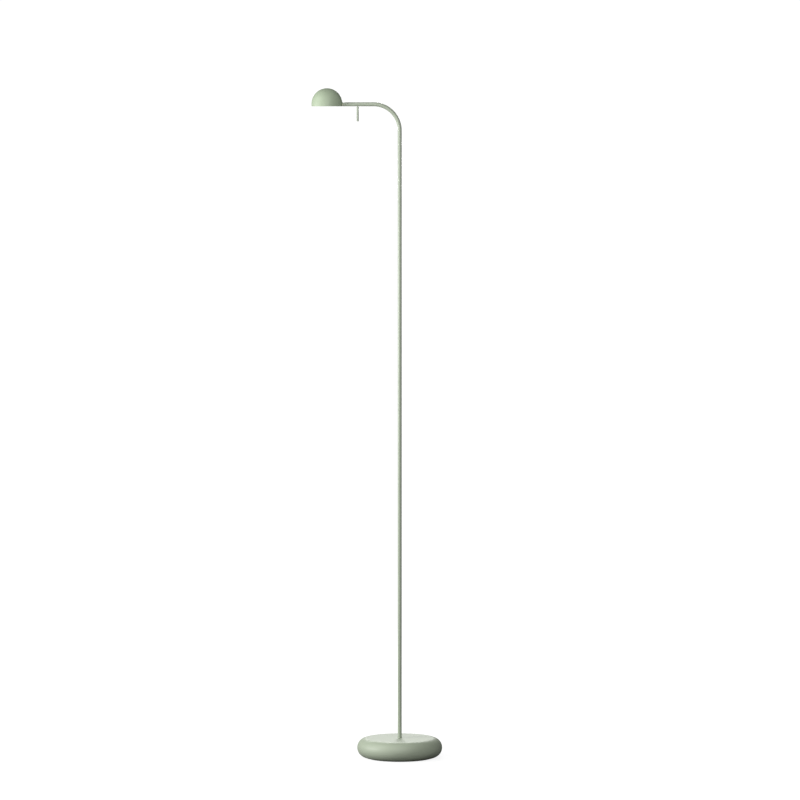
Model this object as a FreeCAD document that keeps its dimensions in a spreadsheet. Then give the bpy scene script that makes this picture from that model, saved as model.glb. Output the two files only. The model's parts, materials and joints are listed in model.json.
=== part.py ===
import FreeCAD, Part
import os
import re
import Sketcher

# A slim floor lamp: a heavy round-edged base, one bent tube for stem and arm, and a small
# domed head. Millimetres, +Z up, origin on the floor at the middle of the base, arm along -X.
# The stem swivels in the base, the head turns about the arm, and a switch lever hangs
# under the arm. Heights inside the head are measured from the arm's axis.

DIMENSIONS = {
    # base casting
    "base_radius": 79.5,
    "base_height": 37,
    "foot_proud": 1,
    "cavity_radius": 52,
    "cavity_ceiling": 21,
    "rabbet_radius": 55,
    "plate_thickness": 2,
    "lug_radius": 5,
    "lug_circle": 47.5,
    "boss_radius": 20,
    "boss_bottom": 9,
    "foot_inner": 56.5,
    "foot_outer": 60.5,
    "foot_groove": 1,
    # swivel in the base
    "bush_radius": 6,
    "bush_flange_radius": 8.5,
    "bush_flange": 1.5,
    "bush_bottom": 16,
    "bush_top": 32,
    "running_gap": 0.05,
    "open_gap": 0.3,
    "pocket_radius": 11.6,
    "washer_radius": 10.5,
    "washer_thickness": 0.6,
    "collar_radius": 11,
    "collar_height": 4.4,
    "collar_bottom": 10.3,
    "keeper_radius": 18,
    "keeper_screw_circle": 15.5,
    "lead_hole_radius": 3,
    "stop_circle": 7.8,
    "stop_pin_radius": 1,
    "stop_pin_length": 4.5,
    "stop_pin_depth": 2.5,
    "stop_pin_chamfer": 0.2,
    "stop_slot_inner": 6.5,
    "stop_slot_outer": 9.1,
    "stop_slot_half": 170,
    # cord inlet
    "inlet_height": 14,
    "inlet_radius": 3,
    "gland_radius": 4,
    "gland_flange_radius": 5,
    "gland_flange": 1.5,
    "gland_seat": 76,
    "gland_inner_end": 47,
    "gland_nut_radius": 6.5,
    "gland_nut_thickness": 3.5,
    "gland_nut_inset": 0.8,
    # driver and terminals
    "driver_near": 22.5,
    "driver_length": 23,
    "driver_half_width": 22,
    "driver_height": 13.8,
    "sheet_wall": 1.2,
    "driver_ear_half": 30,
    "driver_ear_width": 8,
    "driver_screw_offset": 26,
    "driver_lid_step": 1,
    "lead_height": 2.5,
    "board_lift": 2.8,
    "board_thickness": 1.6,
    "board_inset": 0.4,
    "board_foot_radius": 1,
    "board_foot_inset": 1.5,
    "transformer_half": 6,
    "transformer_front": 5,
    "transformer_height": 6,
    "block_far": 36,
    "block_length": 20,
    "block_front": 22,
    "block_depth": 10,
    "block_height": 10,
    "block_pitch": 6,
    "block_well_radius": 1.6,
    "block_well_depth": 4,
    "block_entry_radius": 1.4,
    "block_entry_height": 3.5,
    "block_entry_depth": 3,
    "terminal_screw_height": 2.4,
    "screw_slot_width": 0.5,
    "screw_slot_depth": 0.8,
    "wire_radius": 0.8,
    "wire_turn": 26.5,
    # stem and arm
    "tube_radius": 3.75,
    "tube_bore": 2.75,
    "bend_radius": 48.4,
    "arm_height": 1220.25,
    "lead_radius": 0.9,
    "lead_offset": 1.75,
    "lead_ease": 12,
    "lead_straight": 20,
    "arm_end": 105.5,
    "insert_length": 10.2,
    "journal_radius": 2,
    "journal_length": 6.9,
    "journal_bore": 1.1,
    "tab_recess": 0.15,
    "tab_half": 0.5,
    "nut_flat": 2.5,
    "nut_flat_depth": 1,
    # switch lever
    "lever_reach": 78,
    "lever_radius": 2,
    "lever_drop": 31.6,
    "lever_shoulder": 4.4,
    "lever_neck_radius": 1.2,
    "lever_chamfer": 0.3,
    "lever_top_chamfer": 0.4,
    "lever_slot_half": 2,
    "pivot_drop": 1,
    "pivot_radius": 0.6,
    "pivot_half": 2.3,
    "module_length": 16,
    "module_flat": 0.6,
    # head
    "shade_reach": 135,
    "shade_radius": 28.7,
    "shade_wall": 1.5,
    "skirt_height": 4.8,
    "rim_round": 0.4,
    "shade_boss_radius": 2.4,
    "shade_boss_circle": 18,
    "bracket_inner": 21.7,
    "bracket_outer": 28.4,
    "boss_outer": 29.2,
    "bearing_inner": 24.7,
    "counterbore_radius": 3.15,
    "web_outer": 25.2,
    "ear_inner": 15,
    "ear_half": 7,
    "ear_bottom": 5.2,
    "ear_slot_half": 1.5,
    "ear_screw_reach": 18.5,
    "ear_screw_offset": 4.3,
    "bezel_recess": 0.35,
    "bezel_height": 2.6,
    "aperture_radius": 18.5,
    "diffuser_radius": 19.5,
    "diffuser_thickness": 2,
    "reflector_neck": 8,
    "reflector_wall": 0.8,
    "chip_radius": 5,
    "chip_thickness": 0.7,
    "led_board_radius": 14,
    "led_board_bottom": 5.6,
    "led_board_thickness": 1.5,
    "pad_thickness": 0.5,
    "sink_radius": 22,
    "sink_bottom": 7.6,
    "sink_floor": 2.4,
    "sink_height": 8.4,
    "fin_pitch": 4.4,
    "fin_gap": 2.4,
}
ALIAS = re.compile(r"[a-z_]+")
FLOOR_NORMAL = FreeCAD.Vector(0, 0, 1)

doc = FreeCAD.newDocument("floor_lamp")
dims = doc.addObject("Spreadsheet::Sheet", "dims")
for row, (alias, size) in enumerate(DIMENSIONS.items(), start=1):
    dims.set(f"A{row}", alias)
    dims.set(f"B{row}", str(size))
    dims.setAlias(f"B{row}", alias)
doc.recompute()

nodes = []


# ---------------------------------------------------------------- helpers

def number(expression):
    """The value of an expression over the sheet's aliases."""
    return float(dims.evalExpression(expression))


def bound(expression):
    """The same expression as another object states it, with every alias read from the sheet."""
    return ALIAS.sub(lambda word: f"dims.{word[0]}" if word[0] in DIMENSIONS else word[0], expression)


def place(item, x="0", y="0", z="0", turn=None):
    """Sets an object's Placement, with an optional (axis, degrees) turn."""
    if turn:
        item.Placement.Rotation = FreeCAD.Rotation(FreeCAD.Vector(*turn[0]), turn[1])
    for axis, expression in (("x", x), ("y", y), ("z", z)):
        item.setExpression(f"Placement.Base.{axis}", bound(expression))


def new_body(label, x="0", y="0", z="0", turn=None, node=True):
    """An empty body at its place; a node is a sub-part that gets a file of its own."""
    body = doc.addObject("PartDesign::Body", label)
    body.Label = label
    place(body, x, y, z, turn)
    if node:
        nodes.append(body)
    return body


def head_body(label, z="0"):
    """A body on the shade's axis, with heights from the arm's axis."""
    return new_body(label, x="-shade_reach", z=f"arm_height + {z}")


def group(label, bodies):
    """One node of several separate, identical solids."""
    compound = doc.addObject("Part::Compound", label)
    compound.Label = label
    compound.Links = bodies
    nodes.append(compound)


def sketch_on(body, plane, offset="0"):
    """A sketch on one of the body's own origin planes, moved along the plane's normal."""
    sketch = body.newObject("Sketcher::SketchObject", f"{body.Label}_sketch")
    support = next(item for item in body.Origin.OriginFeatures if item.Role == plane)
    sketch.AttachmentSupport = [(support, "")]
    sketch.MapMode = "FlatFace"
    sketch.setExpression("AttachmentOffset.Base.z", bound(offset))
    return sketch


def tie(sketch, kind, where, expression):
    """Adds a dimension to a sketch and binds it to the sheet."""
    index = sketch.addConstraint(Sketcher.Constraint(kind, *where, number(expression)))
    sketch.setExpression(f"Constraints[{index}]", bound(expression))


def tie_point(sketch, element, end, across, up):
    tie(sketch, "DistanceX", (-1, 1, element, end), across)
    tie(sketch, "DistanceY", (-1, 1, element, end), up)


def draw_circle(sketch, radius, across="0", up="0"):
    centre = FreeCAD.Vector(number(across), number(up), 0)
    circle = sketch.addGeometry(Part.Circle(centre, FLOOR_NORMAL, number(radius)))
    tie(sketch, "Radius", (circle,), radius)
    tie_point(sketch, circle, 3, across, up)


def arc_middle(start, end, radius, turn):
    """The middle point of an arc of at most half a circle from start to end."""
    chord = end - start
    side = FreeCAD.Vector(chord.y, -chord.x, 0).normalize()
    if turn == "right":
        side = -side
    depth = radius - max(radius ** 2 - chord.Length ** 2 / 4, 0) ** 0.5
    return (start + end) / 2 + side * depth


def draw_outline(sketch, corners, closed=True):
    """Draws edges through the corners. A corner is (across, up), or (across, up, radius, turn)
    where an arc leaves for the next corner, turning left or right on its way."""
    points = [FreeCAD.Vector(number(corner[0]), number(corner[1]), 0) for corner in corners]
    edges = []
    for index, corner in enumerate(corners if closed else corners[:-1]):
        start, end = points[index], points[(index + 1) % len(points)]
        if len(corner) == 2:
            edges.append((sketch.addGeometry(Part.LineSegment(start, end)), 1, 2))
            continue
        radius, turn = corner[2:]
        middle = arc_middle(start, end, number(radius), turn)
        if turn == "left":
            edges.append((sketch.addGeometry(Part.Arc(start, middle, end)), 1, 2))
        else:
            edges.append((sketch.addGeometry(Part.Arc(end, middle, start)), 2, 1))
        tie(sketch, "Radius", (edges[-1][0],), radius)
    for (edge, start, _), corner in zip(edges, corners):
        tie_point(sketch, edge, start, *corner[:2])
    if not closed:
        tie_point(sketch, edges[-1][0], edges[-1][2], *corners[-1][:2])
    for index in range(len(edges) if closed else len(edges) - 1):
        edge, _, end = edges[index]
        following, start, _ = edges[(index + 1) % len(edges)]
        sketch.addConstraint(Sketcher.Constraint("Coincident", edge, end, following, start))


def draw_box(sketch, left, right, low, high):
    draw_outline(sketch, [(left, low), (right, low), (right, high), (left, high)])


def draw_hexagon(sketch, radius):
    draw_outline(sketch, [(f"({radius}) * cos({60 * side})", f"({radius}) * sin({60 * side})")
                          for side in range(6)])


def add_feature(body, kind, sketch):
    feature = body.newObject(f"PartDesign::{kind}", f"{body.Label}_{kind.lower()}")
    feature.Profile = sketch
    return feature


def pad(body, sketch, length):
    feature = add_feature(body, "Pad", sketch)
    feature.setExpression("Length", bound(length))
    return feature


def cut(body, sketch, length=None, forward=False):
    """Cuts a sketch out of the body, backwards from its normal unless forward, and right
    through without a length. A cut that removes nothing is an error."""
    doc.recompute()
    before = body.Shape.Volume
    feature = add_feature(body, "Pocket", sketch)
    feature.Reversed = forward
    if length:
        feature.setExpression("Length", bound(length))
    else:
        feature.Type = "ThroughAll"
    doc.recompute()
    if not body.Shape.Volume < before:
        raise RuntimeError(f"a cut in {body.Label} removed nothing")
    return feature


def repeat_around(body, feature, count):
    pattern = body.newObject("PartDesign::PolarPattern", f"{body.Label}_pattern")
    pattern.Originals = [feature]
    pattern.Axis = (feature.Profile[0], ["N_Axis"])
    pattern.Angle = 360
    pattern.Occurrences = count
    body.Tip = pattern
    return pattern


def revolve(body, corners):
    section = sketch_on(body, "XZ_Plane")
    draw_outline(section, corners)
    feature = add_feature(body, "Revolution", section)
    feature.ReferenceAxis = (section, ["V_Axis"])
    feature.Angle = 360
    return body


def ring_section(inner, outer, height):
    return [(inner, "0"), (outer, "0"), (outer, height), (inner, height)]


def sweep(body, path_plane, path, profile_plane, profile_offset, circles):
    """Sweeps circles, drawn where the path starts, along an open path of lines and arcs."""
    spine = sketch_on(body, path_plane)
    draw_outline(spine, path, closed=False)
    profile = sketch_on(body, profile_plane, profile_offset)
    for circle in circles:
        draw_circle(profile, *circle)
    feature = add_feature(body, "AdditivePipe", profile)
    feature.Spine = (spine, [])
    doc.recompute()
    return body


def screw(label, shank, length, head, head_height, x, y, z, turn=None):
    """A socket screw that points up from z, with its head below, unless it is turned."""
    body = new_body(label, x, y, z, turn, node=False)
    revolve(body, [("0", f"-({head_height})"), (head, f"-({head_height})"), (head, "0"),
                   (shank, "0"), (shank, length), ("0", length)])
    socket = sketch_on(body, "XY_Plane", f"-({head_height})")
    draw_hexagon(socket, f"({head}) * {SOCKET_SHARE}")
    cut(body, socket, f"({head_height}) * {SOCKET_DEPTH_SHARE}", forward=True)
    return body


def screws_around(label, angles, circle, centre_x, z, **sizes):
    group(label, [screw(f"{label}_{index}", x=f"{centre_x} + ({circle}) * cos({angle})",
                        y=f"({circle}) * sin({angle})", z=z, **sizes)
                  for index, angle in enumerate(angles, start=1)])


# ---------------------------------------------------------------- base

EDGE = "((base_height - foot_proud) / 2)"
CASTING_HEIGHT = "(base_height - foot_proud)"
FLAT_RADIUS = f"(base_radius - {EDGE})"
PLATE_TOP = "(foot_proud + plate_thickness)"
PLATE_SCREW_ANGLES = (60, 180, 300)
KEEPER_SCREW_ANGLES = (90, 210, 330)
M3, M3_HEAD, M3_HEAD_HEIGHT = "1.5", "2.75", "1.8"
M4, M4_HEAD, M4_LENGTH = "2", "4", "11"
M4_SOCKET, M4_SOCKET_DEPTH = "1.4", "1.6"
LUG_HOLE_DEPTH, KEEPER_HOLE_DEPTH = "10", "8"
KEEPER_SCREW_LENGTH, DRIVER_SCREW_LENGTH = "9", "2.6"
INLET_DRILL_START = "-boss_radius - 10"
PLATE_CLEARANCE = "0.2"
LEAD_JOINT = "0.1"
WIRE_LEVEL = "inlet_height - 6"
# how far back each wire runs, and the radius of its one bend
PRIMARY_WIRES = (("25.5", "3"), ("28.5", "6"))
# radius, place and height of the choke and the capacitors on the driver's board
BOARD_CANS = (("3", "-4", "-12.5", "6.4"), ("2.4", "4.5", "-13", "5"),
              ("2.6", "3.5", "13", "5.6"), ("2", "-5", "12", "4"))
SCREW_CLEARANCE = "0.1"
SOCKET_SHARE, SOCKET_DEPTH_SHARE = "0.5", "0.6"


def make_base_casting():
    """The pebble: full round edge, hollow below, with a boss for the stem's bearing."""
    body = new_body("base_casting", z="foot_proud")
    revolve(body, [
        ("tube_radius + open_gap", "bush_top"), ("bush_radius", "bush_top"),
        ("bush_radius", "bush_bottom"), ("pocket_radius", "bush_bottom"),
        ("pocket_radius", "boss_bottom"), ("boss_radius", "boss_bottom"),
        ("boss_radius", "cavity_ceiling"), ("cavity_radius", "cavity_ceiling"),
        ("cavity_radius", "plate_thickness"), ("rabbet_radius", "plate_thickness"),
        ("rabbet_radius", "0"), ("foot_inner", "0"),
        ("foot_inner", "foot_groove"), ("foot_outer", "foot_groove"), ("foot_outer", "0"),
        (FLAT_RADIUS, "0", EDGE, "left"), ("base_radius", EDGE, EDGE, "left"),
        (FLAT_RADIUS, CASTING_HEIGHT), ("tube_radius + open_gap", CASTING_HEIGHT),
    ])
    lugs = sketch_on(body, "XY_Plane", "plate_thickness")
    draw_circle(lugs, "lug_radius", "-lug_circle")
    repeat_around(body, pad(body, lugs, "cavity_ceiling - plate_thickness"), 3)
    lug_holes = sketch_on(body, "XY_Plane", "plate_thickness")
    draw_circle(lug_holes, M4, "-lug_circle")
    repeat_around(body, cut(body, lug_holes, LUG_HOLE_DEPTH, forward=True), 3)
    keeper_holes = sketch_on(body, "XY_Plane", "boss_bottom")
    draw_circle(keeper_holes, M3, "0", "keeper_screw_circle")
    repeat_around(body, cut(body, keeper_holes, KEEPER_HOLE_DEPTH, forward=True), 3)
    inlet = sketch_on(body, "XZ_Plane", INLET_DRILL_START)
    draw_circle(inlet, "gland_radius", "0", "inlet_height - foot_proud")
    cut(body, inlet)
    seat = sketch_on(body, "XZ_Plane", "-gland_seat")
    draw_circle(seat, "gland_flange_radius", "0", "inlet_height - foot_proud")
    cut(body, seat)


def make_foot_ring():
    body = new_body("foot_ring")
    revolve(body, ring_section("foot_inner", "foot_outer", "foot_proud + foot_groove"))


def make_base_plate():
    """The closing plate, countersunk for its three screws."""
    body = new_body("base_plate", z="foot_proud")
    revolve(body, ring_section("0", f"rabbet_radius - {PLATE_CLEARANCE}", "plate_thickness"))
    countersink = body.newObject("PartDesign::SubtractiveCone", "base_plate_countersink")
    countersink.setExpression("Radius1", M4_HEAD)
    countersink.setExpression("Radius2", M4)
    countersink.setExpression("Height", bound("plate_thickness"))
    countersink.setExpression("Placement.Base.x", bound("-lug_circle"))
    turn_axis = next(item for item in body.Origin.OriginFeatures if item.Role == "Z_Axis")
    pattern = body.newObject("PartDesign::PolarPattern", "base_plate_pattern")
    pattern.Originals = [countersink]
    pattern.Axis = (turn_axis, [""])
    pattern.Angle = 360
    pattern.Occurrences = 3
    body.Tip = pattern
    driver_holes = sketch_on(body, "XY_Plane", "plate_thickness")
    for side in ("", "-"):
        draw_circle(driver_holes, M3, "driver_near + driver_length / 2", f"{side}driver_screw_offset")
    cut(body, driver_holes)


def make_base_plate_screws():
    """Countersunk screws, flush with the plate's underside."""
    bodies = []
    for index, angle in enumerate(PLATE_SCREW_ANGLES, start=1):
        body = new_body(f"base_plate_screw_{index}", f"lug_circle * cos({angle})",
                        f"lug_circle * sin({angle})", "foot_proud", node=False)
        revolve(body, [("0", "0"), (M4_HEAD, "0"), (M4, "plate_thickness"), (M4, M4_LENGTH),
                       ("0", M4_LENGTH)])
        socket = sketch_on(body, "XY_Plane")
        draw_hexagon(socket, M4_SOCKET)
        cut(body, socket, M4_SOCKET_DEPTH, forward=True)
        bodies.append(body)
    group("base_plate_screws", bodies)


def make_swivel_bush():
    """A flanged plain bearing, pushed up into the casting from below."""
    body = new_body("swivel_bush", z="foot_proud + bush_bottom - bush_flange")
    bore = "tube_radius + running_gap"
    top = "bush_top - bush_bottom + bush_flange"
    revolve(body, [(bore, "0"), ("bush_flange_radius", "0"), ("bush_flange_radius", "bush_flange"),
                   ("bush_radius", "bush_flange"), ("bush_radius", top), (bore, top)])


def make_friction_washer():
    body = new_body("friction_washer", z="foot_proud + bush_bottom - bush_flange - washer_thickness")
    revolve(body, ring_section("tube_radius + open_gap", "washer_radius", "washer_thickness"))


def make_retaining_plate():
    """Closes the bearing pocket; its long slot lets the stop pin turn most of a circle."""
    body = new_body("retaining_plate", z="foot_proud + boss_bottom - plate_thickness")
    revolve(body, ring_section("lead_hole_radius", "keeper_radius", "plate_thickness"))
    holes = sketch_on(body, "XY_Plane", "plate_thickness")
    draw_circle(holes, f"{M3} + {SCREW_CLEARANCE}", "0", "keeper_screw_circle")
    repeat_around(body, cut(body, holes), 3)
    slot = sketch_on(body, "XY_Plane", "plate_thickness")
    across, up = "cos(180 - stop_slot_half)", "sin(180 - stop_slot_half)"
    inner, outer = "stop_slot_inner", "stop_slot_outer"
    draw_outline(slot, [
        (f"{outer} * {across}", f"{outer} * {up}", outer, "left"), (f"-{outer}", "0", outer, "left"),
        (f"{outer} * {across}", f"-{outer} * {up}"),
        (f"{inner} * {across}", f"-{inner} * {up}", inner, "right"), (f"-{inner}", "0", inner, "right"),
        (f"{inner} * {across}", f"{inner} * {up}"),
    ])
    cut(body, slot)


def make_retaining_screws():
    screws_around("retaining_screws", KEEPER_SCREW_ANGLES, "keeper_screw_circle", "0",
                  "foot_proud + boss_bottom - plate_thickness",
                  shank=M3, length=KEEPER_SCREW_LENGTH, head=M3_HEAD, head_height=M3_HEAD_HEIGHT)


def make_cable_gland():
    """The lined inlet for the supply cord, through the rear of the casting."""
    body = new_body("cable_gland", y="gland_inner_end", z="inlet_height", turn=((1, 0, 0), -90))
    sleeve, total = "gland_seat - gland_inner_end", "gland_seat - gland_inner_end + gland_flange"
    revolve(body, [("inlet_radius", "0"), ("gland_radius", "0"), ("gland_radius", sleeve),
                   ("gland_flange_radius", sleeve), ("gland_flange_radius", total),
                   ("inlet_radius", total)])


def make_gland_nut():
    body = new_body("gland_nut", y="gland_inner_end + gland_nut_inset", z="inlet_height",
                    turn=((1, 0, 0), -90))
    face = sketch_on(body, "XY_Plane")
    draw_hexagon(face, "gland_nut_radius")
    draw_circle(face, "gland_radius")
    pad(body, face, "gland_nut_thickness")


def make_driver_case():
    """An open sheet tray with two ears that screw to the base plate."""
    body = new_body("driver_case", x="driver_near + driver_length / 2", z=PLATE_TOP)
    half = "driver_length / 2"
    tray = sketch_on(body, "XY_Plane")
    draw_box(tray, f"-{half}", half, "-driver_half_width", "driver_half_width")
    pad(body, tray, "driver_height")
    hollow = sketch_on(body, "XY_Plane", "driver_height")
    draw_box(hollow, f"-{half} + sheet_wall", f"{half} - sheet_wall",
             "-driver_half_width + sheet_wall", "driver_half_width - sheet_wall")
    cut(body, hollow, "driver_height - sheet_wall")
    ears = sketch_on(body, "XY_Plane")
    draw_box(ears, "-driver_ear_width / 2", "driver_ear_width / 2",
             "-driver_ear_half", "driver_ear_half")
    pad(body, ears, "sheet_wall")
    ear_holes = sketch_on(body, "XY_Plane", "sheet_wall")
    for side in ("", "-"):
        draw_circle(ear_holes, M3, "0", f"{side}driver_screw_offset")
    cut(body, ear_holes, "sheet_wall")
    outlet = sketch_on(body, "YZ_Plane")
    draw_circle(outlet, "lead_radius", "0", "lead_height")
    cut(body, outlet)


def make_driver_lid():
    """Drops into the tray with a shallow inner step."""
    body = new_body("driver_lid", x="driver_near + driver_length / 2", z=f"{PLATE_TOP} + driver_height")
    half = "driver_length / 2"
    sheet = sketch_on(body, "XY_Plane")
    draw_box(sheet, f"-{half}", half, "-driver_half_width", "driver_half_width")
    pad(body, sheet, "sheet_wall")
    step = sketch_on(body, "XY_Plane", "-driver_lid_step")
    draw_box(step, f"-{half} + sheet_wall", f"{half} - sheet_wall",
             "-driver_half_width + sheet_wall", "driver_half_width - sheet_wall")
    pad(body, step, "driver_lid_step")


def make_driver_board():
    """The driver's circuit board on four feet, with its transformer, choke and capacitors."""
    body = new_body("driver_board", x="driver_near + driver_length / 2", z=f"{PLATE_TOP} + sheet_wall")
    half = "(driver_length / 2 - sheet_wall - board_inset)"
    half_width = "(driver_half_width - sheet_wall - board_inset)"
    sheet = sketch_on(body, "XY_Plane", "board_lift")
    draw_box(sheet, f"-{half}", half, f"-{half_width}", half_width)
    pad(body, sheet, "board_thickness")
    feet = sketch_on(body, "XY_Plane")
    for across in ("-", ""):
        for up in ("-", ""):
            draw_circle(feet, "board_foot_radius", f"{across}({half} - board_foot_inset)",
                        f"{up}({half_width} - board_foot_inset)")
    pad(body, feet, "board_lift")
    top = "board_lift + board_thickness"
    wound = sketch_on(body, "XY_Plane", top)
    draw_box(wound, "-transformer_half", "transformer_half", "-transformer_front", "transformer_half")
    pad(body, wound, "transformer_height")
    for radius, across, up, height in BOARD_CANS:
        can = sketch_on(body, "XY_Plane", top)
        draw_circle(can, radius, across, up)
        pad(body, can, height)


def make_driver_screws():
    group("driver_screws", [
        screw(f"driver_screw_{index}", M3, DRIVER_SCREW_LENGTH, M3_HEAD, M3_HEAD_HEIGHT,
              "driver_near + driver_length / 2", f"{side}driver_screw_offset",
              f"{PLATE_TOP} + sheet_wall", turn=((1, 0, 0), 180))
        for index, side in enumerate(("", "-"), start=1)])


def make_terminal_block():
    """Three-way block for the supply cord's cores."""
    body = new_body("terminal_block", x="block_length / 2 - block_far", y="block_front", z=PLATE_TOP)
    base = sketch_on(body, "XY_Plane")
    draw_box(base, "-block_length / 2", "block_length / 2", "0", "block_depth")
    pad(body, base, "block_height")
    wells = sketch_on(body, "XY_Plane", "block_height")
    for way in (-1, 0, 1):
        draw_circle(wells, "block_well_radius", f"{way} * block_pitch", "block_depth / 2")
    cut(body, wells, "block_well_depth")
    entries = sketch_on(body, "XZ_Plane", "-block_depth")
    for way in (-1, 0, 1):
        draw_circle(entries, "block_entry_radius", f"{way} * block_pitch", "block_entry_height")
    cut(body, entries, "block_entry_depth", forward=True)


def make_terminal_screws():
    bodies = []
    for way in (-1, 0, 1):
        body = new_body(f"terminal_screw_{way + 2}",
                        f"block_length / 2 - block_far + {way} * block_pitch",
                        "block_front + block_depth / 2",
                        f"{PLATE_TOP} + block_height - block_well_depth", node=False)
        revolve(body, ring_section("0", "block_well_radius", "terminal_screw_height"))
        slot = sketch_on(body, "XY_Plane", "terminal_screw_height")
        draw_box(slot, "-block_well_radius - 1", "block_well_radius + 1",
                 "-screw_slot_width / 2", "screw_slot_width / 2")
        cut(body, slot, "screw_slot_depth")
        bodies.append(body)
    group("terminal_screws", bodies)


def make_primary_wires():
    """Two wires from the terminal block into the rear end of the driver."""
    bodies = []
    end = "block_length - block_far"
    for index, (line, corner) in enumerate(PRIMARY_WIRES, start=1):
        body = new_body(f"primary_wire_{index}", z=WIRE_LEVEL, node=False)
        side = f"wire_turn + {corner}"
        sweep(body, "XY_Plane",
              [(end, line), ("wire_turn", line, corner, "right"),
               (side, f"{line} - {corner}"), (side, "driver_half_width")],
              "YZ_Plane", end, [("wire_radius", line, "0")])
        bodies.append(body)
    group("primary_wires", bodies)


def make_base_lead():
    """The low-voltage lead from the driver to the middle of the swivel."""
    body = new_body("base_lead")
    level = f"{PLATE_TOP} + lead_height"
    top = f"foot_proud + boss_bottom - plate_thickness - {LEAD_JOINT}"
    turn = f"({top} - ({level}))"
    sweep(body, "XZ_Plane",
          [("0", top, turn, "left"), (turn, level), ("driver_near + sheet_wall", level)],
          "XY_Plane", top, [("lead_radius",)])


# ---------------------------------------------------------------- stem and arm

BEND_START = "(arm_height - bend_radius)"
WASHER, NUT = "0.4", "1.5"
WASHER_GAP, NUT_GAP = "0.2", "0.25"


def make_stem_tube():
    """Stem and arm in one piece: a thin steel tube with a single quarter bend."""
    body = new_body("stem_tube")
    sweep(body, "XZ_Plane",
          [("0", "collar_bottom"), ("0", BEND_START, "bend_radius", "left"),
           ("-bend_radius", "arm_height"), ("-arm_end", "arm_height")],
          "XY_Plane", "collar_bottom", [("tube_radius",), ("tube_bore",)])
    slot = sketch_on(body, "XY_Plane", "arm_height")
    half_width = "(lever_neck_radius + open_gap)"
    draw_box(slot, "-lever_reach - lever_slot_half", "-lever_reach + lever_slot_half",
             f"-{half_width}", half_width)
    cut(body, slot, "tube_radius + 1")


def make_stem_collar():
    """Brazed to the foot of the tube, it holds the stem in the bearing pocket."""
    body = new_body("stem_collar", z="collar_bottom")
    revolve(body, ring_section("tube_radius", "collar_radius", "collar_height"))
    pin_hole = sketch_on(body, "XY_Plane")
    draw_circle(pin_hole, "stop_pin_radius", "-stop_circle")
    cut(body, pin_hole, "stop_pin_depth", forward=True)


def make_stop_pin():
    body = new_body("stop_pin", x="-stop_circle", z="collar_bottom + stop_pin_depth - stop_pin_length")
    revolve(body, [("0", "0"), ("stop_pin_radius - stop_pin_chamfer", "0"),
                   ("stop_pin_radius", "stop_pin_chamfer"),
                   ("stop_pin_radius", "stop_pin_length"), ("0", "stop_pin_length")])


def make_lamp_lead():
    """The lead inside the tube: on the axis at both ends, and along the outside of the bend
    between them, so that it passes over the switch."""
    body = new_body("lamp_lead")
    foot = f"(foot_proud + boss_bottom - plate_thickness + {LEAD_JOINT})"
    shift, ease = "lead_offset", "lead_ease"
    run = "(sqrt(lead_offset * (4 * lead_ease - lead_offset)))"
    low, high = f"({foot} + lead_straight)", "(lever_reach + module_length / 2 + 1)"
    sweep(body, "XZ_Plane",
          [("0", foot), ("0", low, ease, "right"),
           (f"{shift} / 2", f"{low} + {run} / 2", ease, "left"), (shift, f"{low} + {run}"),
           (shift, BEND_START, f"bend_radius + {shift}", "left"),
           ("-bend_radius", f"arm_height + {shift}"), (f"-{high}", f"arm_height + {shift}", ease, "left"),
           (f"-{high} - {run} / 2", f"arm_height + {shift} / 2", ease, "right"),
           (f"-{high} - {run}", "arm_height"),
           (f"-arm_end - journal_length + {LEAD_JOINT}", "arm_height")],
          "XY_Plane", foot, [("lead_radius",)])


def make_arm_journal():
    """Pressed into the arm's end; the head turns on its thin outer part."""
    body = new_body("arm_journal", x="-arm_end + insert_length", z="arm_height", turn=((0, 1, 0), -90))
    total = "insert_length + journal_length"
    revolve(body, [("journal_bore", "0"), ("tube_bore", "0"), ("tube_bore", "insert_length"),
                   ("journal_radius", "insert_length"), ("journal_radius", total),
                   ("journal_bore", total)])


def make_tilt_washer():
    """Keyed to the journal, with a tab that meets the bracket's window at either limit."""
    body = new_body("tilt_washer", x=f"-shade_reach + bearing_inner - {WASHER_GAP}", z="arm_height",
                    turn=((0, 1, 0), -90))
    revolve(body, ring_section("journal_radius", f"counterbore_radius - {NUT_GAP}", WASHER))
    tab = sketch_on(body, "XY_Plane")
    draw_box(tab, "-tube_radius + tab_recess", "-journal_radius - open_gap", "-tab_half", "tab_half")
    pad(body, tab, WASHER)


def make_journal_nut():
    body = new_body("journal_nut", x=f"-shade_reach + bearing_inner - {WASHER_GAP} - {WASHER}",
                    z="arm_height", turn=((0, 1, 0), -90))
    revolve(body, ring_section("journal_radius", f"counterbore_radius - {NUT_GAP}", NUT))
    flats = sketch_on(body, "XY_Plane", NUT)
    for side in ("", "-"):
        draw_box(flats, "-counterbore_radius", "counterbore_radius",
                 f"{side}nut_flat", f"{side}(nut_flat + 1)")
    cut(body, flats, "nut_flat_depth")


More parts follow.
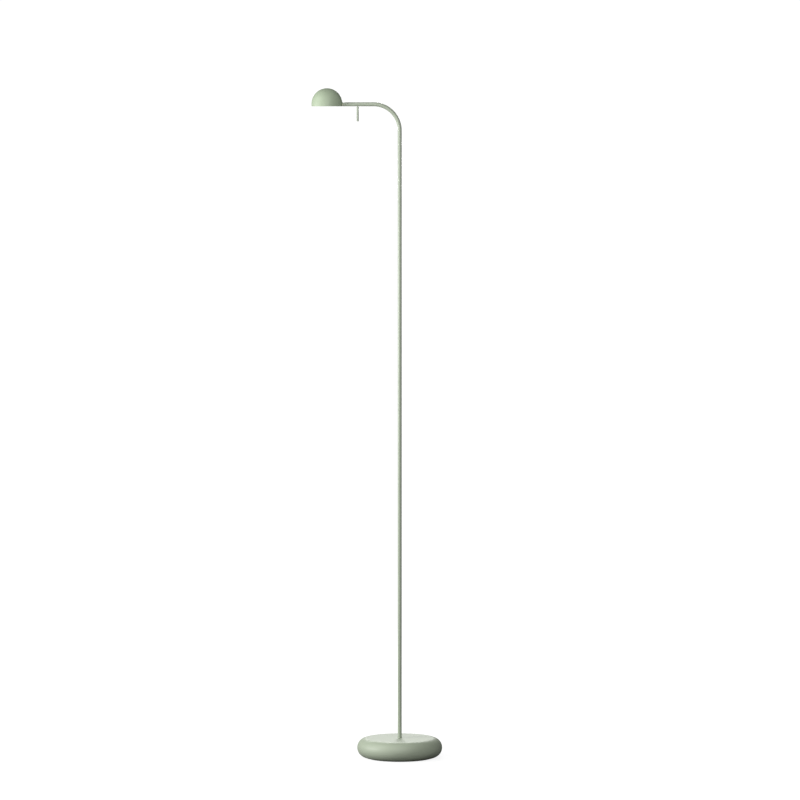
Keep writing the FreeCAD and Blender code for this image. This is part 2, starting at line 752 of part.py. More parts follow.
def make_switch_module():
    """The switch's carrier, flat on top where the lead passes, open below for the lever."""
    body = new_body("switch_module", x="-lever_reach", z="arm_height")
    section = sketch_on(body, "YZ_Plane", "-module_length / 2")
    edge = "sqrt(tube_bore ^ 2 - module_flat ^ 2)"
    draw_outline(section, [(edge, "module_flat"), (f"-{edge}", "module_flat", "tube_bore", "left"),
                           ("0", "-tube_bore", "tube_bore", "left")])
    pad(body, section, "module_length")
    window = sketch_on(body, "XY_Plane", "module_flat")
    half_width = "(lever_neck_radius + open_gap)"
    draw_box(window, "-lever_slot_half", "lever_slot_half", f"-{half_width}", half_width)
    cut(body, window)
    pin_hole = sketch_on(body, "XZ_Plane", "-pivot_half")
    draw_circle(pin_hole, "pivot_radius", "0", "-pivot_drop")
    cut(body, pin_hole, "2 * pivot_half", forward=True)


def make_lever_pivot():
    body = new_body("lever_pivot", x="-lever_reach", y="-pivot_half", z="arm_height - pivot_drop",
                    turn=((1, 0, 0), -90))
    revolve(body, ring_section("0", "pivot_radius", "2 * pivot_half"))


def make_switch_lever():
    """The plain rod under the arm, necked where it passes through the tube's slot."""
    body = new_body("switch_lever", x="-lever_reach", z="arm_height")
    end_radius = "lever_radius - lever_chamfer"
    revolve(body, [("0", "-lever_drop"), (end_radius, "-lever_drop"),
                   ("lever_radius", "-lever_drop + lever_chamfer"),
                   ("lever_radius", "-lever_shoulder - lever_chamfer"),
                   (end_radius, "-lever_shoulder"), ("lever_neck_radius", "-lever_shoulder"),
                   ("lever_neck_radius", "-lever_top_chamfer"),
                   ("lever_neck_radius - lever_top_chamfer", "0"), ("0", "0")])
    pin_hole = sketch_on(body, "XZ_Plane", "-lever_radius")
    draw_circle(pin_hole, "pivot_radius + running_gap", "0", "-pivot_drop")
    cut(body, pin_hole, "2 * lever_radius", forward=True)


# ---------------------------------------------------------------- head

RIM = "(-tube_radius)"
DOME_CENTRE = "(skirt_height - tube_radius)"
SHADE_BORE = "(shade_radius - shade_wall)"
BEZEL_BOTTOM = "(bezel_recess - tube_radius)"
DIFFUSER_TOP = "(bezel_recess - tube_radius + bezel_height)"
HEAD_SCREW_ANGLES = (60, 180, 300)
M2, M2_HEAD, M2_HEAD_HEIGHT = "1", "1.9", "1.2"
M25, M25_HEAD, M25_HEAD_HEIGHT = "1.25", "2.2", "1.6"
BRACKET_SCREW_LENGTH, HEAD_SCREW_LENGTH, POST_HOLE_DEPTH = "4.8", "7.6", "6"
WINDOW_TOP, WINDOW_LENGTH = "0.6", "1"
LEAD_FIRST_BEND, LEAD_SECOND_BEND = "3.5", "2.8"


def draw_arch(sketch):
    """The boss's section: round above the arm's axis, straight down to the rim."""
    draw_outline(sketch, [("-tube_radius", RIM), ("tube_radius", RIM),
                          ("tube_radius", "0", "tube_radius", "left"),
                          ("0", "tube_radius", "tube_radius", "left"), ("-tube_radius", "0")])


def make_shade():
    """A spun dome on a short skirt, notched for the bracket, with three screw bosses inside."""
    body = head_body("shade")
    revolve(body, [
        (SHADE_BORE, RIM), ("shade_radius - rim_round", RIM, "rim_round", "left"),
        ("shade_radius", f"{RIM} + rim_round"),
        ("shade_radius", DOME_CENTRE, "shade_radius", "left"),
        ("0", f"{DOME_CENTRE} + shade_radius"),
        ("0", f"{DOME_CENTRE} + {SHADE_BORE}", SHADE_BORE, "right"),
        (SHADE_BORE, DOME_CENTRE),
    ])
    doc.recompute()
    inner_face = next(f"Face{index}" for index, face in enumerate(body.Shape.Faces, start=1)
                      if isinstance(face.Surface, Part.Sphere)
                      and abs(face.Surface.Radius - number(SHADE_BORE)) < 0.01)
    dome = body.Tip
    posts = sketch_on(body, "XY_Plane", "sink_bottom + sink_floor")
    draw_circle(posts, "shade_boss_radius", "-shade_boss_circle")
    post = add_feature(body, "Pad", posts)
    post.Type = "UpToFace"
    post.UpToFace = (dome, [inner_face])
    repeat_around(body, post, 3)
    doc.recompute()
    holes = sketch_on(body, "XY_Plane", "sink_bottom + sink_floor")
    draw_circle(holes, M25, "-shade_boss_circle")
    repeat_around(body, cut(body, holes, POST_HOLE_DEPTH, forward=True), 3)
    notch = sketch_on(body, "YZ_Plane", "bracket_inner - 1")
    draw_arch(notch)
    cut(body, notch, forward=True)


def make_head_bracket():
    """Carries the head on the journal: a boss, a web up from it and two ears under the sink."""
    body = head_body("head_bracket")
    block = sketch_on(body, "YZ_Plane", "bracket_inner")
    draw_arch(block)
    pad(body, block, "bracket_outer - bracket_inner")
    boss = sketch_on(body, "YZ_Plane", "bracket_outer")
    draw_circle(boss, "tube_radius")
    pad(body, boss, "boss_outer - bracket_outer")
    web = sketch_on(body, "YZ_Plane", "bracket_inner")
    draw_box(web, "-tube_radius", "tube_radius", "0", "sink_bottom")
    pad(body, web, "web_outer - bracket_inner")
    ears = sketch_on(body, "XY_Plane", "ear_bottom")
    draw_box(ears, "ear_inner", "web_outer", "-ear_half", "ear_half")
    pad(body, ears, "sink_bottom - ear_bottom")
    bearing = sketch_on(body, "YZ_Plane", "boss_outer")
    draw_circle(bearing, "journal_radius + running_gap")
    cut(body, bearing)
    nut_pocket = sketch_on(body, "YZ_Plane", "bearing_inner")
    draw_circle(nut_pocket, "counterbore_radius")
    cut(body, nut_pocket)
    window = sketch_on(body, "YZ_Plane", f"bearing_inner + {SCREW_CLEARANCE}")
    draw_box(window, "-tube_radius - 1", "tube_radius + 1", f"{RIM} - 1", WINDOW_TOP)
    cut(body, window, WINDOW_LENGTH)
    fork = sketch_on(body, "XY_Plane", "sink_bottom")
    draw_box(fork, "ear_inner - 1", "bracket_inner - 1", "-ear_slot_half", "ear_slot_half")
    cut(body, fork, "sink_bottom - ear_bottom + 0.1")
    holes = sketch_on(body, "XY_Plane", "sink_bottom")
    for side in ("", "-"):
        draw_circle(holes, f"{M2} + {SCREW_CLEARANCE}", "ear_screw_reach", f"{side}ear_screw_offset")
    cut(body, holes, "sink_bottom - ear_bottom + 0.1")


def make_bracket_screws():
    group("bracket_screws", [
        screw(f"bracket_screw_{index}", M2, BRACKET_SCREW_LENGTH, M2_HEAD, M2_HEAD_HEIGHT,
              "ear_screw_reach - shade_reach", f"{side}ear_screw_offset", "arm_height + ear_bottom")
        for index, side in enumerate(("", "-"), start=1)])


def make_heat_sink():
    """A finned disc between the dome and the light source."""
    body = head_body("heat_sink", "sink_bottom")
    revolve(body, ring_section("0", "sink_radius", "sink_height"))
    gaps = sketch_on(body, "XY_Plane", "sink_height")
    for gap in range(-4, 5):
        middle = f"{gap} * fin_pitch"
        draw_box(gaps, f"{middle} - fin_gap / 2", f"{middle} + fin_gap / 2",
                 "-sink_radius", "sink_radius")
    cut(body, gaps, "sink_height - sink_floor")
    posts = sketch_on(body, "XY_Plane", "sink_height")
    draw_circle(posts, "shade_boss_radius + open_gap", "-shade_boss_circle")
    repeat_around(body, cut(body, posts, "sink_height - sink_floor"), 3)
    holes = sketch_on(body, "XY_Plane", "sink_height")
    draw_circle(holes, f"{M25} + {SCREW_CLEARANCE}", "-shade_boss_circle")
    repeat_around(body, cut(body, holes), 3)
    ear_holes = sketch_on(body, "XY_Plane", "sink_floor")
    for side in ("", "-"):
        draw_circle(ear_holes, M2, "ear_screw_reach", f"{side}ear_screw_offset")
    cut(body, ear_holes)


def make_head_screws():
    screws_around("head_screws", HEAD_SCREW_ANGLES, "shade_boss_circle", "-shade_reach",
                  "arm_height + sink_bottom", shank=M25, length=HEAD_SCREW_LENGTH, head=M25_HEAD,
                  head_height=M25_HEAD_HEIGHT)


def make_light_source():
    """The thermal pad, the board below it and the light-emitting chip below that."""
    thermal_pad = head_body("thermal_pad", "led_board_bottom + led_board_thickness")
    revolve(thermal_pad, ring_section("0", "led_board_radius", "pad_thickness"))
    led_board = head_body("led_board", "led_board_bottom")
    revolve(led_board, ring_section("0", "led_board_radius", "led_board_thickness"))
    led_chip = head_body("led_chip", "led_board_bottom - chip_thickness")
    revolve(led_chip, ring_section("0", "chip_radius", "chip_thickness"))


def make_reflector():
    body = head_body("reflector")
    revolve(body, [("diffuser_radius - reflector_wall", DIFFUSER_TOP), ("diffuser_radius", DIFFUSER_TOP),
                   ("reflector_neck + reflector_wall", "led_board_bottom"),
                   ("reflector_neck", "led_board_bottom")])


def make_diffuser():
    body = head_body("diffuser")
    bottom = f"{DIFFUSER_TOP} - diffuser_thickness"
    revolve(body, [("0", bottom), ("diffuser_radius", bottom), ("diffuser_radius", DIFFUSER_TOP),
                   ("0", DIFFUSER_TOP)])


def make_bezel_ring():
    """Pressed into the skirt just above the rim, it holds the diffuser by a thin lip."""
    body = head_body("bezel_ring")
    lip_top = f"{DIFFUSER_TOP} - diffuser_thickness"
    revolve(body, [("aperture_radius", BEZEL_BOTTOM), (SHADE_BORE, BEZEL_BOTTOM),
                   (SHADE_BORE, DIFFUSER_TOP), ("diffuser_radius", DIFFUSER_TOP),
                   ("diffuser_radius", lip_top),
                   ("aperture_radius", lip_top)])
    notch = sketch_on(body, "XY_Plane", DIFFUSER_TOP)
    draw_box(notch, "bracket_inner - 0.1", "shade_radius", "-tube_radius", "tube_radius")
    cut(body, notch)


def make_head_lead():
    """From the end of the journal up between the bracket's ears to the edge of the board."""
    body = head_body("head_lead")
    start = f"(shade_reach - arm_end - journal_length - {LEAD_JOINT})"
    first, second = LEAD_FIRST_BEND, LEAD_SECOND_BEND
    sweep(body, "XZ_Plane",
          [(start, "0", first, "right"), (f"{start} - {first}", first, second, "left"),
           (f"{start} - {first} - {second}", f"{first} + {second}"),
           ("led_board_radius + 0.05", f"{first} + {second}")],
          "YZ_Plane", start, [("lead_radius",)])


# ---------------------------------------------------------------- build, check and export

for make in (make_base_casting, make_foot_ring, make_base_plate, make_base_plate_screws,
             make_swivel_bush, make_friction_washer, make_retaining_plate, make_retaining_screws,
             make_cable_gland, make_gland_nut, make_driver_case, make_driver_lid, make_driver_board,
             make_driver_screws, make_terminal_block, make_terminal_screws, make_primary_wires,
             make_base_lead, make_stem_tube, make_stem_collar, make_stop_pin, make_lamp_lead,
             make_arm_journal, make_tilt_washer, make_journal_nut, make_switch_module,
             make_lever_pivot, make_switch_lever, make_shade, make_head_bracket, make_bracket_screws,
             make_heat_sink, make_head_screws, make_light_source, make_reflector, make_diffuser,
             make_bezel_ring, make_head_lead):
    make()
doc.recompute()

failed = [item.Label for item in doc.Objects if {"Invalid", "Error"} & set(item.State)]
failed += [node.Label for node in nodes if node.Shape.isNull() or not node.Shape.isValid()]
if failed:
    raise RuntimeError("these objects failed: " + ", ".join(failed))

os.makedirs("parts", exist_ok=True)
for node in nodes:
    node.Shape.exportStep(f"parts/{node.Label}.step")
    print(f"{node.Label}: {len(node.Shape.Solids)} solid(s), {node.Shape.Volume:.1f} cubic mm")
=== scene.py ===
import json
import math

import bmesh
import bpy
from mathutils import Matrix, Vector


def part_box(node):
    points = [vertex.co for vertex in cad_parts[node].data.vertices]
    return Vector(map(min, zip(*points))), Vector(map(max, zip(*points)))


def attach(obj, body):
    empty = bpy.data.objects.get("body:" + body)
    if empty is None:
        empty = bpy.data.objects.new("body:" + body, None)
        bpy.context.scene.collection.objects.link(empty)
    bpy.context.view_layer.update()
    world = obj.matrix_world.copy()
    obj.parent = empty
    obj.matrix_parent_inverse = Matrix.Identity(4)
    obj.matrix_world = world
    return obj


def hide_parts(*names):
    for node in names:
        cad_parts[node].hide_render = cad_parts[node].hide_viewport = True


# The lamp's looks: a material for every CAD node, a smooth tube in place of the CAD one, and a
# plain white studio with five soft panels, the strongest at the left. Metres, +Z up, the arm
# along -X, seen along +Y as in the photograph.

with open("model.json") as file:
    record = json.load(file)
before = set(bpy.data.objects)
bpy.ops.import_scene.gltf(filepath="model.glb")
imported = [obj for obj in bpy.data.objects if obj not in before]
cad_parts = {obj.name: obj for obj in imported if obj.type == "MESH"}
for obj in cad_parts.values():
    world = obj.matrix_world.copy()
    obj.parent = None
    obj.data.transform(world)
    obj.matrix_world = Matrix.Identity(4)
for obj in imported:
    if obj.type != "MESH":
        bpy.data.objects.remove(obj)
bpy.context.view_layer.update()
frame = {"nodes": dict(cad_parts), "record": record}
nodes = frame["nodes"]
scene = bpy.context.scene
MM = 0.001


# ---------------------------------------------------------------- node helpers

# Smooth noise hardly leaves this range.
NOISE_LOW, NOISE_HIGH = 0.3, 0.7


def new_material(name):
    """A material with its Principled shader, and the object's own coordinates in metres."""
    material = bpy.data.materials.new(name)
    material.use_nodes = True
    tree = material.node_tree
    shader = tree.nodes["Principled BSDF"]
    coordinates = tree.nodes.new("ShaderNodeTexCoord")
    return material, tree, shader, coordinates.outputs["Object"]


def noise(tree, place, scale, detail=3.0, roughness=0.5):
    """Smooth noise. Its scale is in waves for each metre."""
    node = tree.nodes.new("ShaderNodeTexNoise")
    tree.links.new(place, node.inputs["Vector"])
    node.inputs["Scale"].default_value = scale
    node.inputs["Detail"].default_value = detail
    node.inputs["Roughness"].default_value = roughness
    return node.outputs["Fac"]


def cells(tree, place, scale):
    """Distance to the nearest of many scattered points, for crystals."""
    node = tree.nodes.new("ShaderNodeTexVoronoi")
    tree.links.new(place, node.inputs["Vector"])
    node.inputs["Scale"].default_value = scale
    return node.outputs["Distance"]


def stretched(tree, place, factors):
    """The same coordinates with each axis scaled, for brushed and drawn surfaces."""
    node = tree.nodes.new("ShaderNodeMapping")
    tree.links.new(place, node.inputs["Vector"])
    node.inputs["Scale"].default_value = factors
    return node.outputs["Vector"]


def spread(tree, value, low, high, from_low=NOISE_LOW, from_high=NOISE_HIGH):
    """A value moved to the range from low to high, and held there."""
    node = tree.nodes.new("ShaderNodeMapRange")
    tree.links.new(value, node.inputs["Value"])
    node.inputs["From Min"].default_value = from_low
    node.inputs["From Max"].default_value = from_high
    node.inputs["To Min"].default_value = low
    node.inputs["To Max"].default_value = high
    return node.outputs["Result"]


def blend_colours(tree, value, first, second):
    """The first colour where the value is 0, the second where it is 1."""
    node = tree.nodes.new("ShaderNodeMix")
    node.data_type = "RGBA"
    tree.links.new(value, node.inputs["Factor"])
    node.inputs["A"].default_value = (*first, 1.0)
    node.inputs["B"].default_value = (*second, 1.0)
    return node.outputs["Result"]


def add_bump(tree, shader, height, depth, strength, under=None):
    """Bump of a real depth in metres; a second layer goes on top of the one under it."""
    node = tree.nodes.new("ShaderNodeBump")
    node.inputs["Strength"].default_value = strength
    node.inputs["Distance"].default_value = depth
    tree.links.new(height, node.inputs["Height"])
    if under:
        tree.links.new(under, node.inputs["Normal"])
    tree.links.new(node.outputs["Normal"], shader.inputs["Normal"])
    return node.outputs["Normal"]


def shade_of(colour, factor):
    return tuple(channel * factor for channel in colour)


def vary_tone(tree, shader, place, scale, first, second, detail=2.0):
    """A base colour that wanders between two close tones."""
    tone = spread(tree, noise(tree, place, scale, detail=detail), 0.0, 1.0)
    tree.links.new(blend_colours(tree, tone, first, second), shader.inputs["Base Color"])


def vary_roughness(tree, shader, texture, middle, step):
    """A roughness that follows a texture, at most a step each way from its middle."""
    tree.links.new(spread(tree, texture, middle - step, middle + step), shader.inputs["Roughness"])


# ---------------------------------------------------------------- materials

SAGE_BASE = (0.391, 0.447, 0.341)
SAGE_STEM = (0.386, 0.438, 0.340)
SAGE_HEAD = (0.382, 0.460, 0.327)
PAINT_TONE_SCALE, PAINT_SPECK_SCALE = 9.0, 2600.0
PAINT_DARK, PAINT_LIGHT = 0.985, 1.015
PAINT_ROUGHNESS_STEP, METAL_ROUGHNESS_STEP, PLASTIC_ROUGHNESS_STEP = 0.03, 0.07, 0.05
PAINT_SPECULAR = 0.45
METAL_TONE_SCALE, METAL_DARK = 60.0, 0.93
PLASTIC_TONE_SCALE, PLASTIC_DARK = 45.0, 0.94


def powder_coat(name, colour, grain=1500.0, depth=0.009 * MM, roughness=0.52):
    """Matte powder coat: a very fine even texture, broad faint tone changes, soft gloss."""
    material, tree, shader, place = new_material(name)
    tone = spread(tree, noise(tree, place, PAINT_TONE_SCALE, detail=2.0), 0.0, 1.0)
    base = blend_colours(tree, tone, shade_of(colour, PAINT_DARK), shade_of(colour, PAINT_LIGHT))
    speck = noise(tree, place, PAINT_SPECK_SCALE, detail=2.0)
    flecked = tree.nodes.new("ShaderNodeHueSaturation")
    tree.links.new(base, flecked.inputs["Color"])
    tree.links.new(spread(tree, speck, PAINT_DARK, PAINT_LIGHT), flecked.inputs["Value"])
    tree.links.new(flecked.outputs["Color"], shader.inputs["Base Color"])
    peel = noise(tree, place, grain, detail=2.0, roughness=0.6)
    vary_roughness(tree, shader, peel, roughness, PAINT_ROUGHNESS_STEP)
    orange_peel = add_bump(tree, shader, noise(tree, place, grain / 4, detail=1.0), depth, 0.6)
    add_bump(tree, shader, peel, depth / 2, 0.8, under=orange_peel)
    shader.inputs["Specular IOR Level"].default_value = PAINT_SPECULAR
    return material


def metal(name, colour, roughness, grain, directions=(1, 1, 1), depth=0.004 * MM):
    """Bare or plated metal: fine marks, stretched along the way it was worked."""
    material, tree, shader, place = new_material(name)
    vary_tone(tree, shader, place, METAL_TONE_SCALE, shade_of(colour, METAL_DARK), colour)
    marks = noise(tree, stretched(tree, place, directions), grain, detail=4.0, roughness=0.65)
    vary_roughness(tree, shader, marks, roughness, METAL_ROUGHNESS_STEP)
    add_bump(tree, shader, marks, depth, 0.6)
    shader.inputs["Metallic"].default_value = 1.0
    return material


def plastic(name, colour, roughness, grain=900.0, depth=0.006 * MM, specular=0.5):
    """Moulded plastic or rubber with a fine mould texture."""
    material, tree, shader, place = new_material(name)
    vary_tone(tree, shader, place, PLASTIC_TONE_SCALE, shade_of(colour, PLASTIC_DARK), colour)
    texture = noise(tree, place, grain, detail=2.0)
    vary_roughness(tree, shader, texture, roughness, PLASTIC_ROUGHNESS_STEP)
    add_bump(tree, shader, texture, depth, 0.5)
    shader.inputs["Specular IOR Level"].default_value = specular
    return material


def zinc_plate(name):
    """Rolled and plated sheet: a faint crystal pattern under long rolling marks."""
    material, tree, shader, place = new_material(name)
    crystals = cells(tree, place, 240.0)
    colour = blend_colours(tree, crystals, (0.62, 0.63, 0.63), (0.50, 0.51, 0.53))
    tree.links.new(colour, shader.inputs["Base Color"])
    rolled = noise(tree, stretched(tree, place, (30, 900, 30)), 1.0, detail=4.0)
    vary_roughness(tree, shader, rolled, 0.36, 0.06)
    add_bump(tree, shader, rolled, 0.003 * MM, 0.5)
    shader.inputs["Metallic"].default_value = 1.0
    return material


def circuit_board(name):
    """Green solder mask with lighter tracks."""
    material, tree, shader, place = new_material(name)
    tracks = tree.nodes.new("ShaderNodeTexBrick")
    tree.links.new(stretched(tree, place, (260, 260, 260)), tracks.inputs["Vector"])
    tracks.inputs["Color1"].default_value = (0.012, 0.085, 0.030, 1)
    tracks.inputs["Color2"].default_value = (0.010, 0.070, 0.026, 1)
    tracks.inputs["Mortar"].default_value = (0.035, 0.160, 0.060, 1)
    tracks.inputs["Mortar Size"].default_value = 0.04
    tree.links.new(tracks.outputs["Color"], shader.inputs["Base Color"])
    mask = noise(tree, place, 700.0)
    vary_roughness(tree, shader, mask, 0.34, 0.06)
    add_bump(tree, shader, mask, 0.006 * MM, 0.4)
    return material


def opal(name):
    """Opal acrylic: light sinks into it, over a very fine satin surface."""
    material, tree, shader, place = new_material(name)
    vary_tone(tree, shader, place, 30.0, (0.86, 0.86, 0.83), (0.90, 0.90, 0.88), detail=3.0)
    satin = noise(tree, place, 1800.0, detail=2.0)
    vary_roughness(tree, shader, satin, 0.41, 0.05)
    add_bump(tree, shader, satin, 0.004 * MM, 0.4)
    shader.inputs["Subsurface Weight"].default_value = 0.4
    shader.inputs["Subsurface Radius"].default_value = (0.004, 0.004, 0.004)
    shader.inputs["Subsurface Scale"].default_value = 0.5
    return material


SLOT_MATERIALS = {
    "casting_paint": powder_coat("casting_paint", SAGE_BASE, grain=1200.0, depth=0.012 * MM,
                                 roughness=0.50),
    "stem_paint": powder_coat("stem_paint", SAGE_STEM, roughness=0.32),
    "lever_paint": powder_coat("lever_paint", SAGE_STEM, roughness=0.36),
    "shade_paint": powder_coat("shade_paint", SAGE_HEAD),
    "bezel_paint": powder_coat("bezel_paint", SAGE_HEAD, grain=1700.0, roughness=0.56),
    "foot_rubber": plastic("foot_rubber", (0.022, 0.022, 0.022), 0.72, 600.0, 0.02 * MM, 0.3),
    "plate_zinc": zinc_plate("plate_zinc"),
    "bronze": metal("bronze", (0.56, 0.36, 0.17), 0.42, 2400.0, depth=0.01 * MM),
    "screw_steel": metal("screw_steel", (0.55, 0.56, 0.57), 0.30, 1500.0, (1, 1, 6)),
    "spring_steel": metal("spring_steel", (0.46, 0.47, 0.49), 0.24, 1200.0, (6, 1, 1)),
    "gland_plastic": plastic("gland_plastic", (0.060, 0.070, 0.055), 0.50),
    "driver_sheet": metal("driver_sheet", (0.72, 0.73, 0.74), 0.34, 1000.0, (1, 14, 1)),
    "board_laminate": circuit_board("board_laminate"),
    "block_plastic": plastic("block_plastic", (0.72, 0.71, 0.66), 0.42),
    "terminal_brass": metal("terminal_brass", (0.72, 0.55, 0.25), 0.28, 1600.0),
    "wire_brown": plastic("wire_brown", (0.085, 0.034, 0.016), 0.46),
    "wire_white": plastic("wire_white", (0.70, 0.70, 0.67), 0.48),
    "journal_brass": metal("journal_brass", (0.70, 0.54, 0.26), 0.26, 1800.0, (8, 1, 1)),
    "switch_plastic": plastic("switch_plastic", (0.020, 0.020, 0.020), 0.45),
    "sink_aluminium": metal("sink_aluminium", (0.68, 0.69, 0.70), 0.48, 900.0, depth=0.02 * MM),
    "thermal_rubber": plastic("thermal_rubber", (0.27, 0.32, 0.40), 0.70),
    "led_substrate": plastic("led_substrate", (0.80, 0.80, 0.78), 0.38),
    "led_phosphor": plastic("led_phosphor", (0.85, 0.58, 0.06), 0.30),
    "reflector_white": plastic("reflector_white", (0.86, 0.86, 0.85), 0.25),
    "diffuser_opal": opal("diffuser_opal"),
}

for subpart in frame["record"]["subparts"]:
    nodes[subpart["node"]].material_slots[0].material = SLOT_MATERIALS[subpart["material_slot"]]


# ---------------------------------------------------------------- the tube

tube_low, tube_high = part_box("stem_tube")
TUBE_RADIUS = tube_high.x
TUBE_WALL = 1.0 * MM
TUBE_BORE = TUBE_RADIUS - TUBE_WALL
ARM_HEIGHT = tube_high.z - TUBE_RADIUS
BEND_RADIUS = 48.4 * MM
STEM_RINGS, BEND_RINGS = 40, 48
ARM_RINGS, SLOT_RINGS, END_RINGS = 6, 4, 8
AROUND = 64
# The slot that the lever comes out of: half its length, and its steps each side of the underside.
SLOT_HALF_LENGTH = 2.0 * MM
SLOT_STEPS = 4
SHARP_ANGLE = 40
LEVEL_TOLERANCE = 1e-6


def tube_stations():
    """Where the tube's rings stand, from the foot to the arm's end, each as its centre and its
    direction of travel; and where the lever's slot starts and ends."""
    up, left = Vector((0, 0, 1)), Vector((-1, 0, 0))
    bend_start = ARM_HEIGHT - BEND_RADIUS
    stations = [(Vector((0, 0, tube_low.z + (bend_start - tube_low.z) * step / STEM_RINGS)), up)
                for step in range(STEM_RINGS)]
    for step in range(BEND_RINGS + 1):
        angle = math.radians(90 * step / BEND_RINGS)
        centre = Vector((BEND_RADIUS * (math.cos(angle) - 1), 0,
                         bend_start + BEND_RADIUS * math.sin(angle)))
        stations.append((centre, Vector((-math.sin(angle), 0, math.cos(angle)))))
    lever_low, lever_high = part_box("switch_lever")
    lever_x = (lever_low.x + lever_high.x) / 2
    slot_start, slot_end = lever_x + SLOT_HALF_LENGTH, lever_x - SLOT_HALF_LENGTH
    for start, end, steps in ((-BEND_RADIUS, slot_start, ARM_RINGS),
                              (slot_start, slot_end, SLOT_RINGS),
                              (slot_end, tube_low.x, END_RINGS)):
        stations += [(Vector((start + (end - start) * (step + 1) / steps, 0, ARM_HEIGHT)), left)
                     for step in range(steps)]
    return stations, slot_start, slot_end


def make_tube():
    """The bent tube with its bore and the lever's slot, swept finer than the CAD mesh."""
    stations, slot_start, slot_end = tube_stations()
    mesh = bmesh.new()
    across = Vector((0, 1, 0))

    def ring(centre, travel, radius):
        outward = across.cross(travel)
        turns = [2 * math.pi * step / AROUND for step in range(AROUND)]
        return [mesh.verts.new(centre + radius * (math.cos(turn) * outward + math.sin(turn) * across))
                for turn in turns]

    outer = [ring(centre, travel, TUBE_RADIUS) for centre, travel in stations]
    inner = [ring(centre, travel, TUBE_BORE) for centre, travel in stations]
    under = AROUND // 2

    def in_slot(station, step):
        middle = (stations[station][0].x + stations[station + 1][0].x) / 2
        level = stations[station][0].z > ARM_HEIGHT - LEVEL_TOLERANCE
        beneath = under - SLOT_STEPS <= step < under + SLOT_STEPS
        return level and beneath and slot_end < middle < slot_start

    def join(first, second, step, flip):
        after = (step + 1) % AROUND
        corners = [first[step], first[after], second[after], second[step]]
        mesh.faces.new(reversed(corners) if flip else corners)

    for station in range(len(stations) - 1):
        for step in range(AROUND):
            if not in_slot(station, step):
                join(outer[station], outer[station + 1], step, flip=False)
                join(inner[station], inner[station + 1], step, flip=True)
            elif not in_slot(station, (step - 1) % AROUND):
                mesh.faces.new((outer[station][step], outer[station + 1][step],
                                inner[station + 1][step], inner[station][step]))
            elif not in_slot(station, step + 1):
                mesh.faces.new((inner[station][step + 1], inner[station + 1][step + 1],
                                outer[station + 1][step + 1], outer[station][step + 1]))
    for step in range(AROUND):
        join(inner[0], outer[0], step, flip=False)
        join(outer[-1], inner[-1], step, flip=False)
    for station in range(1, len(stations) - 1):
        for step in range(under - SLOT_STEPS, under + SLOT_STEPS):
            if in_slot(station, step) != in_slot(station - 1, step):
                join(outer[station], inner[station], step, flip=in_slot(station - 1, step))
    bmesh.ops.recalc_face_normals(mesh, faces=mesh.faces)
    data = bpy.data.meshes.new("stem_and_arm")
    mesh.to_mesh(data)
    mesh.free()
    data.materials.append(SLOT_MATERIALS["stem_paint"])
    data.shade_smooth()
    piece = bpy.data.objects.new("stem_and_arm", data)
    scene.collection.objects.link(piece)
    data.set_sharp_from_angle(angle=math.radians(SHARP_ANGLE))
    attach(piece, "stem")
    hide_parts("stem_tube")


make_tube()


# ---------------------------------------------------------------- studio

FLOOR_RADIUS, FLOOR_SIDES = 90.0, 96
FLOOR_GREY = 0.22
# The floor's glow near the lamp and far from it, and where it starts and stops rising.
FLOOR_GLOW_NEAR, FLOOR_GLOW_FAR = 0.89, 1.05
GLOW_START, GLOW_END = 0.25, 0.60
AMBIENT, BACKGROUND = 0.12, 1.05
LIGHT_DISTANCE, LIGHT_HEIGHT = 2.2, 0.5
# Between the stem and the head, where the panels face.
LAMP_MIDDLE = -0.05
# name, side, height, height faced, watts, width
LIGHTS = (
    ("key", 77, 0.75, 0.75, 45.0, 1.5),
    ("key_high", 70, 2.5, 0.8, 25.0, 0.9),
    ("front", 0, 1.25, 1.25, 22.0, 2.0),
    ("overhead", 0, 2.9, 0.0, 17.0, 0.9),
    ("back", 180, 1.25, 1.25, 22.0, 0.9),
)
CAMERA_DISTANCE, CAMERA_ASIDE = 8.7, 0.56 * MM
CAMERA_TILT = 3.592
FOCAL_LENGTH, SENSOR_WIDTH = 210.53, 36.0
CLIP_START, CLIP_END = 0.1, 300.0


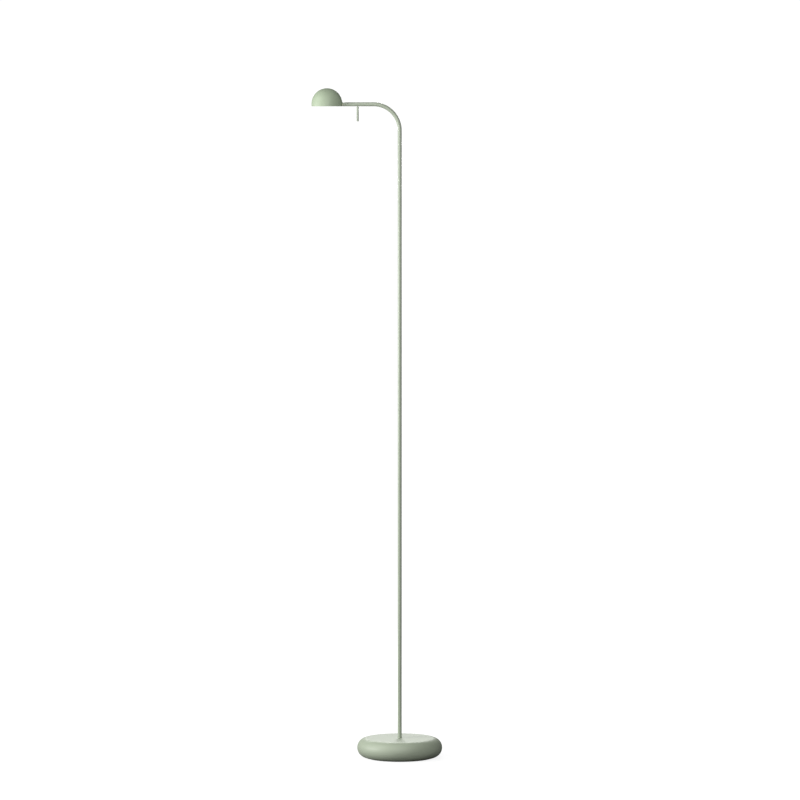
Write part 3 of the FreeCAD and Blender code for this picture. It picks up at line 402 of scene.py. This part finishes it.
def make_floor():
    """A very wide white floor. Its own glow keeps it white in every view, and is seen only by
    the camera, so that it doesn't light the lamp. The glow is less under the lamp, where the
    shadow of the base shows."""
    data = bpy.data.meshes.new("floor")
    mesh = bmesh.new()
    bmesh.ops.create_circle(mesh, cap_ends=True, segments=FLOOR_SIDES, radius=FLOOR_RADIUS)
    mesh.to_mesh(data)
    mesh.free()
    floor = bpy.data.objects.new("floor", data)
    scene.collection.objects.link(floor)
    material, tree, shader, place = new_material("studio_floor")
    shader.inputs["Base Color"].default_value = (FLOOR_GREY, FLOOR_GREY, FLOOR_GREY, 1)
    shader.inputs["Roughness"].default_value = 0.9
    shader.inputs["Specular IOR Level"].default_value = 0.0
    shader.inputs["Emission Color"].default_value = (1, 1, 1, 1)
    reach = tree.nodes.new("ShaderNodeVectorMath")
    reach.operation = "LENGTH"
    tree.links.new(place, reach.inputs[0])
    level = spread(tree, reach.outputs["Value"], FLOOR_GLOW_NEAR, FLOOR_GLOW_FAR,
                   GLOW_START, GLOW_END)
    path = tree.nodes.new("ShaderNodeLightPath")
    glow = tree.nodes.new("ShaderNodeMath")
    glow.operation = "MULTIPLY"
    tree.links.new(path.outputs["Is Camera Ray"], glow.inputs[0])
    tree.links.new(level, glow.inputs[1])
    tree.links.new(glow.outputs[0], shader.inputs["Emission Strength"])
    # The glow lights nothing, so no light rays are spent on it.
    material.cycles.emission_sampling = "NONE"
    data.materials.append(material)


def make_surroundings():
    """White behind the lamp, and a dimmer grey light from all round."""
    world = bpy.data.worlds.new("studio")
    world.use_nodes = True
    tree = world.node_tree
    background = tree.nodes["Background"]
    path = tree.nodes.new("ShaderNodeLightPath")
    level = tree.nodes.new("ShaderNodeMapRange")
    tree.links.new(path.outputs["Is Camera Ray"], level.inputs["Value"])
    level.inputs["To Min"].default_value = AMBIENT
    level.inputs["To Max"].default_value = BACKGROUND
    tree.links.new(level.outputs["Result"], background.inputs["Strength"])
    background.inputs["Color"].default_value = (1, 1, 1, 1)
    # The light from all round is even, so it needs no map of where to look.
    world.cycles.sampling_method = "NONE"
    scene.world = world


def add_light(name, side, height, aim, power, width):
    """A soft panel round the lamp: its side in degrees from the front, left positive, its own
    height, the height that it faces, its power in watts and its width."""
    data = bpy.data.lights.new(name, "AREA")
    data.shape = "RECTANGLE"
    data.size, data.size_y = width, LIGHT_HEIGHT
    data.energy = power
    light = bpy.data.objects.new(name, data)
    turn = math.radians(side)
    light.location = (LAMP_MIDDLE - LIGHT_DISTANCE * math.sin(turn),
                      -LIGHT_DISTANCE * math.cos(turn), height)
    facing = Vector((LAMP_MIDDLE, 0, aim)) - light.location
    light.rotation_euler = facing.to_track_quat("-Z", "Y").to_euler()
    light.visible_camera = False
    scene.collection.objects.link(light)


def add_camera():
    """Level with the dome's rim, far back with a long lens, tipped down to the base."""
    data = bpy.data.cameras.new("camera")
    data.sensor_width = SENSOR_WIDTH
    data.lens = FOCAL_LENGTH
    data.clip_start, data.clip_end = CLIP_START, CLIP_END
    camera = bpy.data.objects.new("camera", data)
    camera.location = (CAMERA_ASIDE, -CAMERA_DISTANCE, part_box("shade")[0].z)
    camera.rotation_euler = (math.radians(90 - CAMERA_TILT), 0, 0)
    scene.collection.objects.link(camera)
    scene.camera = camera


make_floor()
make_surroundings()
for light in LIGHTS:
    add_light(*light)
add_camera()
scene.view_settings.view_transform = "Standard"
